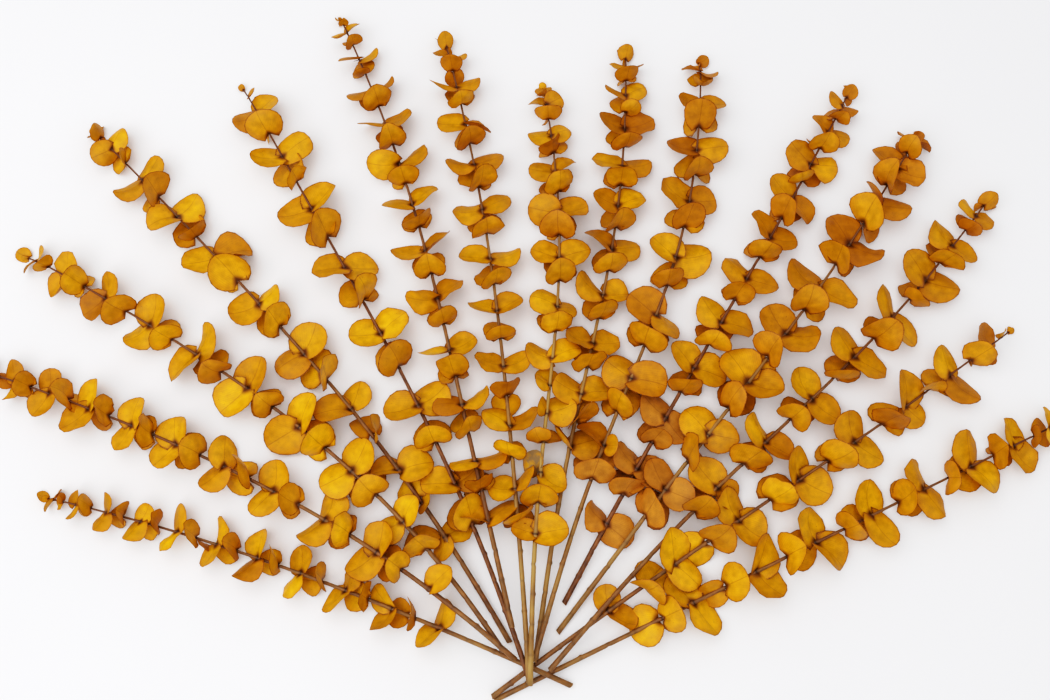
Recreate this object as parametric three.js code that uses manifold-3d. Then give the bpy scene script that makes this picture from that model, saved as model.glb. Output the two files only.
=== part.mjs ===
// A bunch of dried eucalyptus: fifteen cut, round-leaved stems laid flat and spread as a fan.
// Millimetres, +Z up. +X runs across the fan, +Y from the cut ends to the tips of the middle
// stems, and the surface that the bunch lies on is z = 0.
//
// Each stem is one grown piece: a tapered woody rod with its leaves in opposite pairs, each pair
// a quarter turn from the last. Every leaf is a cupped blade whose root is sunk in the rod.

import * as THREE from 'three';
import { mergeVertices } from 'three/addons/utils/BufferGeometryUtils.js';
import Module from 'manifold-3d';

const wasm = await Module();
wasm.setup();
const { Manifold } = wasm;

// ---- Driving dimensions ----

const FOOT_RADIUS = 2.6; // of the woody rod at its cut end
const TIP_RADIUS = 0.75; // of the rod where the growing tip is
const ROD_SIDES = 4; // a young shoot is square, with a leaf on each flat
const ROD_RINGS = 6; // besides those where it rests on another rod
const RING_CROWDING = 1.3; // above 1, the rings stand closer together towards the cut end
const RING_SPACING = 0.012; // rings closer than this share of the length are one
const TANGENT_REACH = 0.02; // share of the length over which the rod's direction is taken
const ROUTE_STEP = 1.5; // spacing of the points at which one stem is laid over the others
const LEAVES_HOLD_UP_TO = 0.97; // past this share of its length a stem's tip may droop
const STACK_GAP = 0.35; // between the rods where one crosses another

const BLADE_THICKNESS = 0.72;
const BLADE_GAP = 0.3; // between a leaf and every other leaf and rod but its own
const ROOT_DEPTH = 0.33; // how far a leaf's root is sunk, as a share of the way to the rod's axis
const PRESSED_EVERY = 5; // one pair in so many may press on the surface
const HOVER = 0.2; // the other leaves stay this far above the surface
const TOUCH_DEPTH = 0.3; // how deep a leaf or foot that meets the surface is pressed flat
const PAIR_CROWDING = 1.3; // above 1, the pairs stand closer together towards the tip
const LEFT_OFF_EVERY = 5; // one pair in so many is left off, to keep the solid light
const YOUNG_LEAF = 0.45; // size of the topmost leaves, as a share of the grown ones
const SMALLEST_LEAF = 8; // a leaf that would come out shorter is left off
const TIP_STRETCH = 0.004; // share of the leafy length between the topmost pair and the tip

// How the leaves of a pair stand: ranges and spreads in degrees, and shares.
const TURN_SPREAD = 4; // of a pair about the rod
const ANGLE_SPREAD = 4; // of one leaf about the rod
const LEAN = { least: 6, most: 26 }; // towards the tip of the stem
const FACE_SPREAD = 12; // of the roll that turns a leaf's face upwards
const UPRIGHT_SHARE = 0.7; // of that turn is taken by the leaves that stand up from a rod
const BACKWARD_SHARE = 0.1; // of the leaves under a rod lean towards the cut end instead
const INNER_FACE_SHARE = 0.96; // of the leaves show the face that grew towards the rod
const FLATTEST_LEAN = 86;
const SIZE = { least: 0.92, most: 1.06 };
const CUP = { least: 0.05, most: 0.15 }; // rise of the edges, as a share of the width
const CURL = { least: -0.16, most: 0.1 }; // rise of the tip, as a share of the length

const SEED = 681; // the draws of each stem start from this and its number
const TRIES = 24; // poses tried for a leaf before it is left off
const WANDER = 4; // by how many degrees more each try may turn the leaf
const SHRINK = 0.97; // and how much smaller it makes it
const HALVINGS = 12; // of the lean at which a leaf just clears the surface

// The corners of a leaf's outline from its root outwards, on one side of the midrib, as shares of
// its length and its width. A grown leaf is blunt, and a young one has a single pair of corners
// and a pointed tip.
const GROWN_CORNERS = [{ along: 0.4, across: 0.48 }, { along: 0.93, across: 0.29 }];
const YOUNG_CORNERS = [{ along: 0.5, across: 0.48 }, { along: 1, across: 0 }];
const YOUNG_LENGTH = 26; // a leaf shorter than this has a young leaf's corners

// The stems from the left of the fan to the right. foot is the cut end, heading is measured
// from +X, and bow and sway bend the route to the left of its chord: bow once, sway there and
// back. bare is the length without leaves above the foot, lift is the height of the leafy part's
// axis, leaf the length of a grown leaf, young how far from the tip the leaves are smaller,
// plump a leaf's width over its length, turn the angle of the lowest pair about the rod, and face
// how far the leaves turn their faces upwards.
const STEMS = [
  {
    foot: [38, -16], heading: 160.8, length: 519, bow: -13, sway: 1, bare: 130,
    lift: 13, pairs: 22, leaf: 29, young: 160, plump: 0.94, turn: 12, face: 42,
  },
  {
    foot: [-13, 7], heading: 152.3, length: 579, bow: -30, sway: -2, bare: 99,
    lift: 15, pairs: 22, leaf: 33, young: 120, plump: 0.98, turn: 8, face: 57,
  },
  {
    foot: [-23, 13], heading: 141.1, length: 600, bow: -39, sway: -4, bare: 112,
    lift: 16, pairs: 19, leaf: 35, young: 150, plump: 1.02, turn: 84, face: 62,
  },
  {
    foot: [-18, 22], heading: 129.9, length: 649, bow: -22, sway: -3, bare: 112,
    lift: 15, pairs: 19, leaf: 35, young: 110, plump: 1.02, turn: 10, face: 65,
  },
  {
    foot: [-1, -9], heading: 116.5, length: 643, bow: -17, sway: -3, bare: 144,
    lift: 18, pairs: 16, leaf: 36, young: 90, plump: 1.04, turn: 94, face: 64,
  },
  {
    foot: [-16, 35], heading: 106.2, length: 632, bow: -17, sway: 4, bare: 98,
    lift: 15, pairs: 25, leaf: 33, young: 140, plump: 0.92, turn: 4, face: 40,
  },
  {
    foot: [-1, -13], heading: 97.7, length: 637, bow: -16, sway: 2, bare: 144,
    lift: 17, pairs: 22, leaf: 33, young: 110, plump: 0.96, turn: 94, face: 49,
  },
  {
    foot: [0, -15], heading: 88.7, length: 582, bow: -14, sway: 8, bare: 134,
    lift: 16, pairs: 21, leaf: 32, young: 140, plump: 1.08, turn: 4, face: 62,
  },
  {
    foot: [5, 7], heading: 81.3, length: 605, bow: -10, sway: 7, bare: 196,
    lift: 15, pairs: 21, leaf: 32, young: 90, plump: 1.0, turn: 12, face: 52,
  },
  {
    foot: [3, 5], heading: 74.1, length: 613, bow: -21, sway: 11, bare: 172,
    lift: 18, pairs: 17, leaf: 36, young: 120, plump: 1.04, turn: 92, face: 64,
  },
  {
    foot: [31, 57], heading: 60.2, length: 583, bow: 0, sway: 2, bare: 83,
    lift: 16, pairs: 23, leaf: 33, young: 120, plump: 1.04, turn: 8, face: 62,
  },
  {
    foot: [25, 31], heading: 53.4, length: 604, bow: -8, sway: 3, bare: 130,
    lift: 18, pairs: 19, leaf: 37, young: 70, plump: 1.04, turn: 80, face: 64,
  },
  {
    foot: [17, -3], heading: 46.2, length: 627, bow: -4, sway: 7, bare: 195,
    lift: 16, pairs: 18, leaf: 35, young: 120, plump: 1.04, turn: 96, face: 60,
  },
  {
    foot: [-35, -26], heading: 34.5, length: 603, bow: 1, sway: 2, bare: 130,
    lift: 17, pairs: 17, leaf: 36, young: 90, plump: 1.02, turn: 12, face: 62,
  },
  {
    foot: [-33, -29], heading: 25.5, length: 606, bow: 0, sway: 0, bare: 169,
    lift: 15, pairs: 18, leaf: 36, young: 110, plump: 1.0, turn: 88, face: 56,
  },
];

// The order in which the stems were laid down, by their place in the list, lowest first.
const LAID_DOWN = [15, 14, 1, 13, 12, 11, 5, 3, 2, 4, 6, 9, 10, 7, 8];

const LEAF_COLOUR = '#cf9019';

// ---- Small helpers ----

const radians = THREE.MathUtils.degToRad;
const mix = THREE.MathUtils.lerp;
const within = ({ least, most }, random) => mix(least, most, random());
const either = (spread, random) => mix(-spread, spread, random());

// Numbers from 0 to 1 that are the same in every run.
function dice(seed) {
  let state = seed;
  return () => {
    state = (state + 0x6d2b79f5) | 0;
    let mixed = Math.imul(state ^ (state >>> 15), 1 | state);
    mixed = (mixed + Math.imul(mixed ^ (mixed >>> 7), 61 | mixed)) ^ mixed;
    return ((mixed ^ (mixed >>> 14)) >>> 0) / 4294967296;
  };
}

function solidOf(geometry) {
  const bare = geometry.clone();
  bare.deleteAttribute('normal');
  bare.deleteAttribute('uv');
  const merged = mergeVertices(bare, 1e-4);
  const corners = [];
  for (let i = 0; i < merged.index.count; i += 3) {
    const [a, b, c] = [0, 1, 2].map((k) => merged.index.getX(i + k));
    if (a !== b && b !== c && c !== a) corners.push(a, b, c);
  }
  const vertProperties = new Float32Array(merged.attributes.position.array);
  const triVerts = new Uint32Array(corners);
  return new Manifold(new wasm.Mesh({ numProp: 3, vertProperties, triVerts }));
}

function geometryOf(solid) {
  const mesh = solid.getMesh();
  const geometry = new THREE.BufferGeometry();
  geometry.setAttribute('position', new THREE.BufferAttribute(new Float32Array(mesh.vertProperties), 3));
  geometry.setIndex(new THREE.BufferAttribute(new Uint32Array(mesh.triVerts), 1));
  geometry.computeVertexNormals();
  return geometry;
}

// ---- Stems ----

function rodRadius(t) {
  return mix(FOOT_RADIUS, TIP_RADIUS, t ** 0.85);
}

// The angle about the rod at which the first of its corners stands.
function cornerAngle(stem) {
  return stem.turn + 180 / ROD_SIDES;
}

// How far the rod's lowest corner lies under its axis, as a share of its radius.
function undersideShare(stem) {
  const between = 360 / ROD_SIDES;
  const offDown = THREE.MathUtils.euclideanModulo(cornerAngle(stem) + 90, between);
  return Math.cos(radians(Math.min(offDown, between - offDown)));
}

// A stem's axis: a bent route over the surface, with the heights that a taut line takes, drawn as
// the straight stretches between the rod's rings.
class StemAxis extends THREE.Curve {
  constructor(stem) {
    super();
    this.stem = stem;
    this.rings = [];
  }

  // The point of the route at the share t of its length, at height z.
  bent(t, z = 0) {
    const { foot, heading, length, bow, sway } = this.stem;
    const along = length * t;
    const aside = bow * 4 * t * (1 - t) + sway * Math.sin(2 * Math.PI * t);
    const [c, s] = [Math.cos(radians(heading)), Math.sin(radians(heading))];
    return new THREE.Vector3(foot[0] + c * along - s * aside, foot[1] + s * along + c * aside, z);
  }

  getPoint(t) {
    const after = this.rings.findIndex((ring) => ring.t > t);
    const next = after < 1 ? this.rings.length - 1 : after;
    const [low, high] = [this.rings[next - 1], this.rings[next]];
    return low.point.clone().lerp(high.point, (t - low.t) / (high.t - low.t));
  }

  // The tangent, the side and the upward direction of the rod at t.
  directions(t) {
    const [before, after] = [Math.max(0, t - TANGENT_REACH), Math.min(1, t + TANGENT_REACH)];
    const tangent = this.getPoint(after).sub(this.getPoint(before)).normalize();
    const side = new THREE.Vector3(0, 0, 1).cross(tangent).normalize();
    return { tangent, side, up: tangent.clone().cross(side) };
  }
}

// The upper edge of a set of heights, as a line stretched over them would lie.
function tautLine(needs) {
  const line = [];
  for (const need of needs) {
    while (line.length > 1) {
      const [a, b] = line.slice(-2);
      const straight = a.z + ((need.z - a.z) * (b.t - a.t)) / (need.t - a.t);
      if (b.z > straight) break;
      line.pop();
    }
    line.push(need);
  }
  return line;
}

function heightOn(line, t) {
  const next = Math.max(1, line.findIndex((peak) => peak.t >= t));
  const [low, high] = [line[next - 1], line[next]];
  return mix(low.z, high.z, (t - low.t) / (high.t - low.t));
}

// The stem lies on the surface and over the stems laid before it, and its leaves hold it up.
function layDown(axis, laid) {
  const { stem } = axis;
  const steps = Math.ceil(stem.length / ROUTE_STEP);
  const needs = [];
  for (let i = 0; i <= steps; i++) {
    const t = i / steps;
    const radius = rodRadius(t);
    const point = axis.bent(t);
    const leafy = t * stem.length > stem.bare && t < LEAVES_HOLD_UP_TO;
    let z = leafy ? stem.lift : radius * undersideShare(stem) - TOUCH_DEPTH;
    for (const below of laid) {
      const reach = radius + below.radius + STACK_GAP;
      const apart = Math.hypot(point.x - below.x, point.y - below.y);
      if (apart < reach) z = Math.max(z, below.z + Math.sqrt(reach * reach - apart * apart));
    }
    needs.push({ t, z });
  }
  const line = tautLine(needs);
  const shares = line.map((peak) => peak.t);
  for (let i = 0; i <= ROD_RINGS; i++) {
    const t = (i / ROD_RINGS) ** RING_CROWDING;
    if (shares.every((share) => Math.abs(share - t) > RING_SPACING)) shares.push(t);
  }
  shares.sort((a, b) => a - b);
  axis.rings = shares.map((t) => ({ t, point: axis.bent(t, heightOn(line, t)) }));
  for (const { t } of needs) laid.push(Object.assign(axis.getPoint(t), { radius: rodRadius(t) }));
}

function rod(axis) {
  const profile = axis.rings.map(({ t }) => new THREE.Vector2(rodRadius(t), t));
  profile.unshift(new THREE.Vector2(0, 0));
  profile.push(new THREE.Vector2(0, 1));
  const geometry = new THREE.LatheGeometry(profile, ROD_SIDES, radians(cornerAngle(axis.stem)));
  const position = geometry.attributes.position;
  for (let i = 0; i < position.count; i++) {
    const t = position.getY(i);
    const { side, up } = axis.directions(t);
    const point = axis.getPoint(t);
    point.addScaledVector(side, position.getX(i)).addScaledVector(up, -position.getZ(i));
    position.setXYZ(i, point.x, point.y, point.z);
  }
  return solidOf(geometry);
}

// ---- Leaves ----

// A flat blade with few corners, from its root at the origin along +X, with its thickness along
// Z. Its corners are then raised, the same on both faces, so that it is cupped along the midrib.
function bladeGeometry(length, width, cup, curl) {
  const corners = length < YOUNG_LENGTH ? YOUNG_CORNERS : GROWN_CORNERS;
  const at = ({ along, across }, side) => new THREE.Vector2(along * length, side * across * width);
  const outline = new THREE.Shape([at(corners[0], 1), new THREE.Vector2(0, 0)]);
  for (const corner of corners) outline.lineTo(...at(corner, -1));
  if (corners[1].across > 0) outline.lineTo(...at(corners[1], 1));
  const geometry = new THREE.ExtrudeGeometry(outline, { depth: BLADE_THICKNESS, bevelEnabled: false });
  geometry.translate(0, 0, -BLADE_THICKNESS / 2);
  const position = geometry.attributes.position;
  for (let i = 0; i < position.count; i++) {
    const [x, y] = [position.getX(i) / length, position.getY(i) / width];
    position.setZ(i, position.getZ(i) + cup * width * 4 * y * y + curl * length * x * x);
  }
  return geometry;
}

// Where a leaf stands: its root's place on the axis, its angle about the rod, its lean towards
// the tip of the stem and its roll about its own midrib.
function bladePose(axis, t, angle, lean, roll) {
  const { tangent, side, up } = axis.directions(t);
  const outward = side.clone().multiplyScalar(Math.cos(radians(angle)));
  outward.addScaledVector(up, Math.sin(radians(angle)));
  const along = outward.clone().multiplyScalar(Math.cos(radians(lean)));
  along.addScaledVector(tangent, Math.sin(radians(lean)));
  const face = outward.multiplyScalar(-Math.sin(radians(lean)));
  face.addScaledVector(tangent, Math.cos(radians(lean)));
  face.applyAxisAngle(along, radians(roll));
  const across = face.clone().cross(along);
  const flat = rodRadius(t) * Math.cos(Math.PI / ROD_SIDES);
  const root = axis.getPoint(t).addScaledVector(along, flat * (1 - ROOT_DEPTH));
  return new THREE.Matrix4().makeBasis(along, across, face).setPosition(root);
}

function lowestPoint(geometry, pose) {
  const position = geometry.attributes.position;
  const point = new THREE.Vector3();
  let lowest = Infinity;
  for (let i = 0; i < position.count; i++) {
    lowest = Math.min(lowest, point.fromBufferAttribute(position, i).applyMatrix4(pose).z);
  }
  return lowest;
}

// A leaf that would pass through the surface is leaned over until it is as low as it may be.
function leanClear(axis, geometry, t, angle, lean, roll, lowest) {
  const poseAt = (tilt) => bladePose(axis, t, angle, tilt, roll);
  const sinks = (tilt) => lowestPoint(geometry, poseAt(tilt)) < lowest;
  if (!sinks(lean)) return poseAt(lean);
  const flattest = lean < 0 ? -FLATTEST_LEAN : FLATTEST_LEAN;
  if (sinks(flattest)) return null;
  let [through, clear] = [lean, flattest];
  for (let i = 0; i < HALVINGS; i++) {
    const middle = (through + clear) / 2;
    if (sinks(middle)) through = middle;
    else clear = middle;
  }
  return poseAt(clear);
}

function boxed(solid) {
  const { min, max } = solid.boundingBox();
  return { solid, min, max };
}

function near(a, b) {
  return [0, 1, 2].every((k) => a.min[k] - BLADE_GAP < b.max[k] && b.min[k] - BLADE_GAP < a.max[k]);
}

function isClear(blade, others) {
  const gap = (other) => blade.solid.minGap(other.solid, 2 * BLADE_GAP);
  return others.every((other) => !near(blade, other) || gap(other) >= BLADE_GAP);
}

// One leaf: the pose that it would have alone, or the nearest one found that is clear of the rest.
// Above and below the rod the lean turns its face upwards, and at the sides the roll does. The
// surface presses the leaves under the rod flatter than that.
function leaf(axis, t, angle, length, lowest, stem, random, obstacles) {
  const above = Math.sin(radians(angle));
  const sideways = Math.cos(radians(angle));
  const leanWay = above < 0 && random() < BACKWARD_SHARE ? -1 : 1;
  const level = above > 0 ? UPRIGHT_SHARE * stem.face : stem.face;
  const lean = leanWay * (within(LEAN, random) + Math.abs(above) * (level - LEAN.most));
  const rollWay = random() < INNER_FACE_SHARE ? -1 : 1;
  const rollShare = Math.sign(sideways) * Math.sqrt(Math.abs(sideways));
  const roll = rollWay * rollShare * (stem.face + either(FACE_SPREAD, random));
  const cup = within(CUP, random);
  const curl = within(CURL, random);
  for (let i = 0; i < TRIES; i++) {
    const size = length * SHRINK ** i;
    if (size < SMALLEST_LEAF) return null;
    const geometry = bladeGeometry(size, size * stem.plump, cup, curl);
    const turned = angle + either(i * WANDER, random);
    const leaned = THREE.MathUtils.clamp(lean + either(i * WANDER, random), -FLATTEST_LEAN, FLATTEST_LEAN);
    const rolled = roll + either(i * WANDER, random);
    const pose = leanClear(axis, geometry, t, turned, leaned, rolled, lowest);
    if (!pose) continue;
    const blade = boxed(solidOf(geometry.applyMatrix4(pose)));
    if (isClear(blade, obstacles)) return blade;
  }
  return null;
}

// The leafy stem's pairs from the lowest to the tip, each a quarter turn from the one before.
function leaves(axis, stem, random, otherRods, otherBlades) {
  const own = [];
  const leafy = stem.length - stem.bare;
  for (let i = 0; i < stem.pairs; i++) {
    if ((stem.pairs - i) % LEFT_OFF_EVERY === 0) continue;
    const fromTip = (1 - i / (stem.pairs - 1)) ** PAIR_CROWDING;
    const t = 1 - mix(TIP_STRETCH, 1, fromTip) * (leafy / stem.length);
    const growth = Math.sin((Math.min(1, (fromTip * leafy) / stem.young) * Math.PI) / 2);
    const size = stem.leaf * mix(YOUNG_LEAF, 1, growth) * within(SIZE, random);
    const turn = stem.turn + 90 * i + either(TURN_SPREAD, random);
    const lowest = i % PRESSED_EVERY === 2 ? -TOUCH_DEPTH : HOVER;
    for (const half of [0, 180]) {
      const angle = turn + half + either(ANGLE_SPREAD, random);
      const others = [...otherRods, ...otherBlades, ...own];
      const blade = leaf(axis, t, angle, size, lowest, stem, random, others);
      if (blade) own.push(blade);
    }
  }
  return own;
}

// ---- The bunch ----

const axes = STEMS.map((stem) => new StemAxis(stem));
const laid = [];
for (const number of LAID_DOWN) layDown(axes[number - 1], laid);
const rods = axes.map((axis) => boxed(rod(axis)));

const surface = new THREE.BoxGeometry(2000, 2000, 40).translate(0, 0, -20);
const underSurface = solidOf(surface);

const bunch = new THREE.Group();
const placed = [];
for (const number of LAID_DOWN) {
  const i = number - 1;
  const otherRods = rods.toSpliced(i, 1);
  const own = leaves(axes[i], STEMS[i], dice(SEED + number), otherRods, placed);
  placed.push(...own);
  const whole = Manifold.union([rods[i].solid, ...own.map((blade) => blade.solid)]);
  const material = new THREE.MeshStandardMaterial({ color: LEAF_COLOUR, roughness: 0.6, metalness: 0 });
  const mesh = new THREE.Mesh(geometryOf(whole.subtract(underSurface)), material);
  mesh.name = `leafy_stem_${String(number).padStart(2, '0')}`;
  bunch.add(mesh);
}

// The origin is under the middle of the bunch, on the surface.
const middle = new THREE.Box3().setFromObject(bunch).getCenter(new THREE.Vector3());
bunch.position.set(-middle.x, -middle.y, 0);

export default bunch;
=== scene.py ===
"""The bunch of dried eucalyptus: fifteen leafy stems laid flat and spread as a fan.

Metres, +Z up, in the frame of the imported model. Each packed leafy stem is shown by two finer
pieces: its woody stem, along the same route, and its leaves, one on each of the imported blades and
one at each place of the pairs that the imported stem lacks.
"""

import itertools
import math
import random
from collections import namedtuple
from dataclasses import dataclass

import bmesh
import bpy
from mathutils import Matrix, Vector, bvhtree, kdtree


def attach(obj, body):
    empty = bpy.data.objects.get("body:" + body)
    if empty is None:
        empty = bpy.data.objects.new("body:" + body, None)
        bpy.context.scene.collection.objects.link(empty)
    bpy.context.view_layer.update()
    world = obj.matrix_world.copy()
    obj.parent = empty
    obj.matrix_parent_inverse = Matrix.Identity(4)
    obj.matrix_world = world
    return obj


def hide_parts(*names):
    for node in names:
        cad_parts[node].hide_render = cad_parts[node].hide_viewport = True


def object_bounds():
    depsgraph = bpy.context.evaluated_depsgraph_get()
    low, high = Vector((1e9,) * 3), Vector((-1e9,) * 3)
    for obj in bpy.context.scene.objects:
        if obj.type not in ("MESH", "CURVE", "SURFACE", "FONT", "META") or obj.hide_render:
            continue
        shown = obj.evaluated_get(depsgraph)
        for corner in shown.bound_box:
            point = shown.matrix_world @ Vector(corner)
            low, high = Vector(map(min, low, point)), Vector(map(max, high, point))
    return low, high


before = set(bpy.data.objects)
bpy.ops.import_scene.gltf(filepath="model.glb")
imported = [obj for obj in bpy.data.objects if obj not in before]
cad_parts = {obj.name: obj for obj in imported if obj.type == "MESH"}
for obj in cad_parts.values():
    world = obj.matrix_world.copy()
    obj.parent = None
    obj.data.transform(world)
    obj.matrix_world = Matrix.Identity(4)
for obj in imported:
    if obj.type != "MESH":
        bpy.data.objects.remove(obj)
packed_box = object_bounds()

MM = 0.001

# ---- Camera and light ----

PICTURE_WIDTH = 1050  # pixels
FOCAL_LENGTH = 1368.4  # pixels
SENSOR_WIDTH = 36.0  # mm
CAMERA_DISTANCE = 1.3
CAMERA_ELEVATION = math.radians(77)
LOOK_AT = Vector((0.0026, -0.0123, 0.015))
SOFTBOX_PLACE = Vector((-0.8, -0.3, 2.0))
SOFTBOX_SIZE = 3.0
SOFTBOX_WATTS = 38
ROOM_COLOUR = (0.98, 0.98, 1.0, 1)
ROOM_STRENGTH = 0.595
# The print's tone curve, on linear values: deep browns and a paper white that doesn't glare.
TONE_CURVE = ((0.01, 0.003), (0.05, 0.036), (0.12, 0.14), (0.24, 0.34), (0.4, 0.55), (0.6, 0.76),
              (0.8, 0.875))
COMBINED_CURVE = 3  # the curve after those for red, green and blue


def aim(thing, place, target):
    """Puts a camera or a light at its place, turned to its target."""
    thing.location = place
    thing.rotation_mode = "QUATERNION"
    thing.rotation_quaternion = (Vector(target) - place).to_track_quat("-Z", "Y")
    bpy.context.scene.collection.objects.link(thing)


back = Vector((0, -math.cos(CAMERA_ELEVATION), math.sin(CAMERA_ELEVATION)))
lens = bpy.data.cameras.new("camera")
lens.sensor_width = SENSOR_WIDTH
lens.lens = FOCAL_LENGTH / PICTURE_WIDTH * SENSOR_WIDTH
camera = bpy.data.objects.new("camera", lens)
aim(camera, LOOK_AT + back * CAMERA_DISTANCE, LOOK_AT)
bpy.context.scene.camera = camera

view = bpy.context.scene.view_settings
view.view_transform = "Standard"
view.use_curve_mapping = True
for seen, printed in TONE_CURVE:
    view.curve_mapping.curves[COMBINED_CURVE].points.new(seen, printed)
view.curve_mapping.update()

softbox = bpy.data.lights.new("softbox", "AREA")
softbox.shape = "SQUARE"
softbox.size = SOFTBOX_SIZE
softbox.energy = SOFTBOX_WATTS
aim(bpy.data.objects.new("softbox", softbox), SOFTBOX_PLACE, (0, 0, 0))

room = bpy.data.worlds.new("white_room")
room.use_nodes = True
room.node_tree.nodes["Background"].inputs["Color"].default_value = ROOM_COLOUR
room.node_tree.nodes["Background"].inputs["Strength"].default_value = ROOM_STRENGTH
bpy.context.scene.world = room


# ---- Materials ----

# A Mix node's colour sockets, by number because those for numbers have the same names.
MIX_A, MIX_B, MIX_RESULT = 6, 7, 2
BLOTCHES = 130  # to a metre, so one is 8 mm across
LEAF_GRAIN = 900  # to a metre: 1.1 mm, which is as fine as shows
WOOD_PATCHES = 30  # to a metre: 33 mm
WOOD_RAYS = 1500  # to a metre: 0.7 mm
VEIN_SLOPE = 3.4  # how fast the side veins run towards the tip
VEIN_WAVER = 0.12
SIDE_VEINS = 7.0  # to a leaf's length, so one leaves the midrib about every 4 mm
VEIN_DEPTH = 1.2  # against the height of a blotch
RIM_RAGGED = 0.05
STREAKS = (3, 90, 1)  # round the stem, and to a metre of its length, so one is 11 mm long
CLOUDS = 3  # to a metre


def linear(code):
    """A hex colour as the linear values that the shaders take."""
    shares = [int(code[i : i + 2], 16) / 255 for i in (1, 3, 5)]
    return *(s / 12.92 if s <= 0.04045 else ((s + 0.055) / 1.055) ** 2.4 for s in shares), 1


def add(tree, kind, links=None, **settings):
    """One node: links gives each input's value or the output that feeds it."""
    node = tree.nodes.new(kind)
    for name, value in settings.items():
        setattr(node, name, value)
    for name, value in (links or {}).items():
        if isinstance(value, bpy.types.NodeSocket):
            tree.links.new(value, node.inputs[name])
        else:
            node.inputs[name].default_value = value
    return node


def new_material(name):
    material = bpy.data.materials.new(name)
    material.use_nodes = True
    return material, material.node_tree, material.node_tree.nodes["Principled BSDF"]


def blade_map(tree):
    """Where a point is on its leaf: along it, across it and out from its middle, all as shares of
    its length and width. The outline is a circle there."""
    on_blade = add(tree, "ShaderNodeUVMap", uv_map="blade")
    blade = add(tree, "ShaderNodeSeparateXYZ", {"Vector": on_blade.outputs[0]})
    along = blade.outputs["X"]
    across = add(tree, "ShaderNodeMath", {0: blade.outputs["Y"], 1: 0.5},
                 operation="SUBTRACT").outputs[0]
    from_middle = add(tree, "ShaderNodeMath", {0: along, 1: 0.5}, operation="SUBTRACT")
    spot = add(tree, "ShaderNodeCombineXYZ", {"X": from_middle.outputs[0], "Y": across})
    reach = add(tree, "ShaderNodeVectorMath", {0: spot.outputs[0]}, operation="LENGTH")
    return along, across, reach.outputs["Value"]


def dye_and_painted_shade(tree, tones, blotch):
    """Each leaf has its own place between pale gold and burnt orange, and blotches in it. How light
    a leaf is, and how light its blotches are, is partly its own dye and partly painted shade for
    leaves and creases turned from the light. The wax bloom dulls it."""
    # Painted shade in part: the dark end of this gold stands for leaves turned from the light, as
    # well as for darker dye.
    gold = add(tree, "ShaderNodeMix", {
        0: tones["X"], MIX_A: linear("#a56604"), MIX_B: linear("#ecab0e"),
    }, data_type="RGBA")
    warmed = add(tree, "ShaderNodeMix", {
        0: tones["Y"], MIX_A: gold.outputs[MIX_RESULT], MIX_B: linear("#b56a0c"),
    }, data_type="RGBA")
    dullness = add(tree, "ShaderNodeAttribute", attribute_name="bloom")
    bloomed = add(tree, "ShaderNodeMix", {
        0: dullness.outputs["Fac"], MIX_A: warmed.outputs[MIX_RESULT], MIX_B: linear("#bb7b30"),
    }, data_type="RGBA")
    # Painted shade in part: the lighter and darker blotches stand for the shading of creases and
    # folds, as well as for uneven dye.
    mottle_and_shade = add(tree, "ShaderNodeMapRange", {
        "Value": blotch, "From Min": 0.3, "From Max": 0.7, "To Min": 0.76, "To Max": 1.14,
    })
    mottled_and_shaded = add(tree, "ShaderNodeVectorMath", {
        0: bloomed.outputs[MIX_RESULT], "Scale": mottle_and_shade.outputs[0],
    }, operation="SCALE")
    return mottled_and_shaded.outputs[0]


def rusty_and_shaded_edge(tree, dyed_and_shaded, reach):
    """Browner towards the outline: partly the dried edge of the leaf, partly painted shade where a
    domed leaf curves away at its rim.
    """
    # Painted shade in part: this browning of the outer ring stands for the shade at the rim of a
    # domed leaf, as well as for its dried edge.
    rust_and_shade_share = add(tree, "ShaderNodeMapRange", {
        "Value": reach, "From Min": 0.28, "From Max": 0.5, "To Min": 0, "To Max": 0.45,
    }, interpolation_type="SMOOTHSTEP")
    edged = add(tree, "ShaderNodeMix", {
        0: rust_and_shade_share.outputs[0], MIX_A: dyed_and_shaded, MIX_B: linear("#bb6e0d"),
    }, data_type="RGBA")
    return edged.outputs[MIX_RESULT]


def dried_rim(tree, reach, grain):
    """The thin brown line along the outline."""
    ragged = add(tree, "ShaderNodeMath", {0: grain, 1: RIM_RAGGED, 2: reach},
                 operation="MULTIPLY_ADD")
    return add(tree, "ShaderNodeMapRange", {
        "Value": ragged.outputs[0], "From Min": 0.484, "From Max": 0.52, "To Min": 0, "To Max": 0.85,
    }, interpolation_type="SMOOTHSTEP").outputs[0]


def pinnate_veins(tree, along, across, blotch):
    """The midrib, and side veins that leave it and bend towards the tip."""
    off_rib = add(tree, "ShaderNodeMath", {0: across}, operation="ABSOLUTE").outputs[0]
    midrib = add(tree, "ShaderNodeMapRange", {
        "Value": off_rib, "From Min": 0.003, "From Max": 0.018, "To Min": 0.34, "To Max": 0,
    }, interpolation_type="SMOOTHSTEP")
    bend = add(tree, "ShaderNodeMath", {0: off_rib, 1: -VEIN_SLOPE, 2: along},
               operation="MULTIPLY_ADD")
    waver = add(tree, "ShaderNodeMath", {0: blotch, 1: VEIN_WAVER, 2: bend.outputs[0]},
                operation="MULTIPLY_ADD")
    count = add(tree, "ShaderNodeMath", {0: waver.outputs[0], 1: SIDE_VEINS},
                operation="MULTIPLY")
    between = add(tree, "ShaderNodeMath", {0: count.outputs[0], 1: 0.5}, operation="PINGPONG")
    vein = add(tree, "ShaderNodeMapRange", {
        "Value": between.outputs[0], "From Min": 0.02, "From Max": 0.11, "To Min": 0.18, "To Max": 0,
    }, interpolation_type="SMOOTHSTEP")
    return add(tree, "ShaderNodeMath", {0: midrib.outputs[0], 1: vein.outputs[0]},
               operation="MAXIMUM").outputs[0]


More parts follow.
